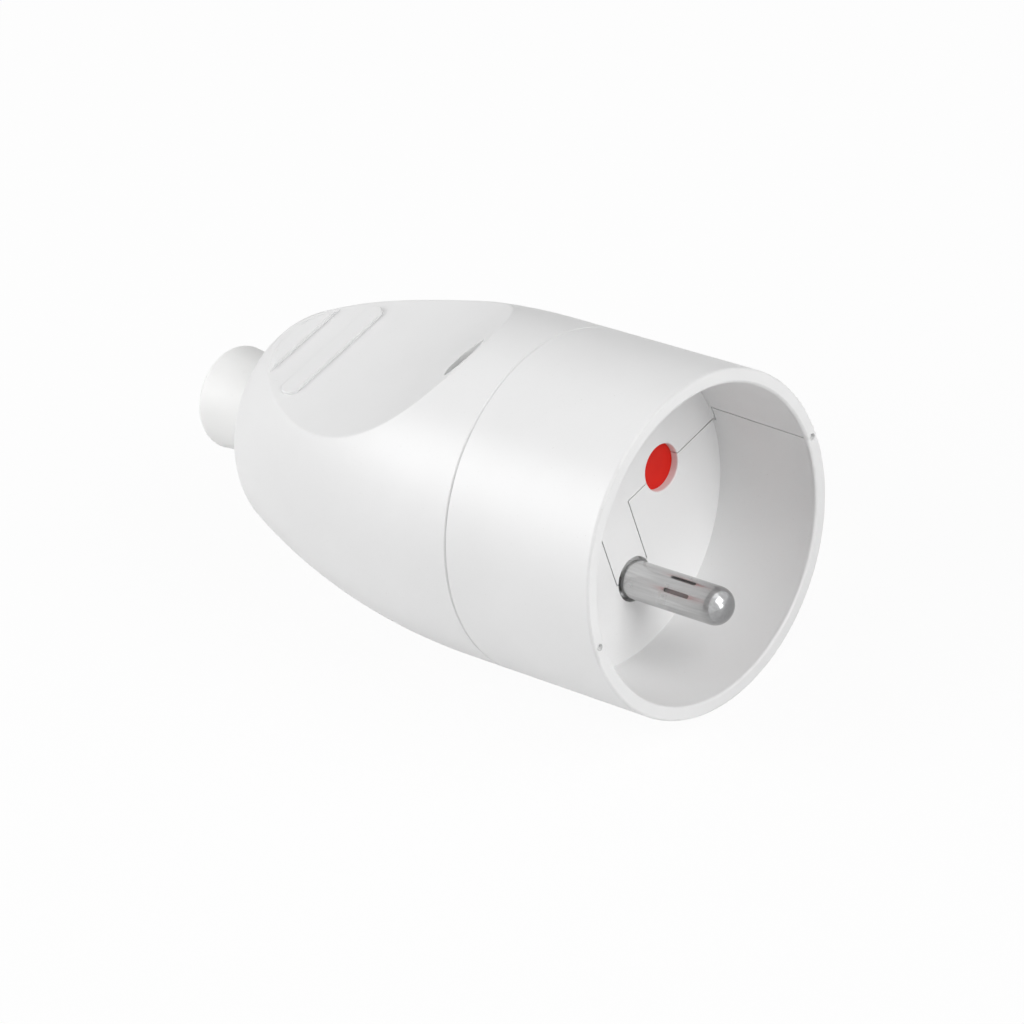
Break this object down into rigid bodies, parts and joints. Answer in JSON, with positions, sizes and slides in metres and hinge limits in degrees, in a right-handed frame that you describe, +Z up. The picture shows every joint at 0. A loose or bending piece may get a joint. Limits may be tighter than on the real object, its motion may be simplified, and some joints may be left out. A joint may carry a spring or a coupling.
{
  "type": "portable in-line socket outlet",
  "caption": "White in-line mains socket with a deep round plug recess, projecting earth pin, sprung red safety shutter, tapered grip housing and short cord collar.",
  "frame": {"origin": "centre of the face at the bottom of the recess that a plug's front seats on", "axes": "+X out of the recess's mouth along the object's length, +Z up through the upper grip pad, away from the earth pin, +Y to the side"},
  "size_m": [0.0799, 0.0426, 0.0426],
  "materials": {
    "shell_white": "fine satin moulding",
    "collar_white": "soft satin",
    "shutter_red": "satin",
    "spring_steel": "bright drawn wire",
    "pin_nickel": "nickel plated, satin",
    "terminal_brass": "turned",
    "contact_brass": "rolled",
    "screw_steel": "zinc plated",
    "clamp_grey": "moulded"
  },
  "bodies": {
    "socket_body": {"front_sleeve": "shell_white", "rear_housing": "shell_white", "insert_upper_half": "shell_white", "insert_lower_half": "shell_white", "cord_collar": "collar_white", "shutter_spring": "spring_steel", "earth_pin": "pin_nickel", "earth_terminal": "terminal_brass", "earth_terminal_screw": "screw_steel", "live_contact": "contact_brass", "neutral_contact": "contact_brass", "live_contact_clip": "spring_steel", "neutral_contact_clip": "spring_steel", "live_terminal": "terminal_brass", "neutral_terminal": "terminal_brass", "live_terminal_screw": "screw_steel", "neutral_terminal_screw": "screw_steel", "cord_clamp_bar": "clamp_grey", "cord_clamp_screw_left": "screw_steel", "cord_clamp_screw_right": "screw_steel", "closing_screw_left": "screw_steel", "closing_screw_right": "screw_steel"},
    "shutter": {"safety_shutter": "shutter_red"}
  },
  "joints": [
    {"name": "shutter_slide", "type": "slide", "parent": "socket_body", "child": "shutter", "axis": [-0.5, 0, 0.866], "range_m": [0, 0.007], "stiffness_N_per_m": 230, "springref_m": -0.001, "deforming": ["shutter_spring"]}
  ]
}
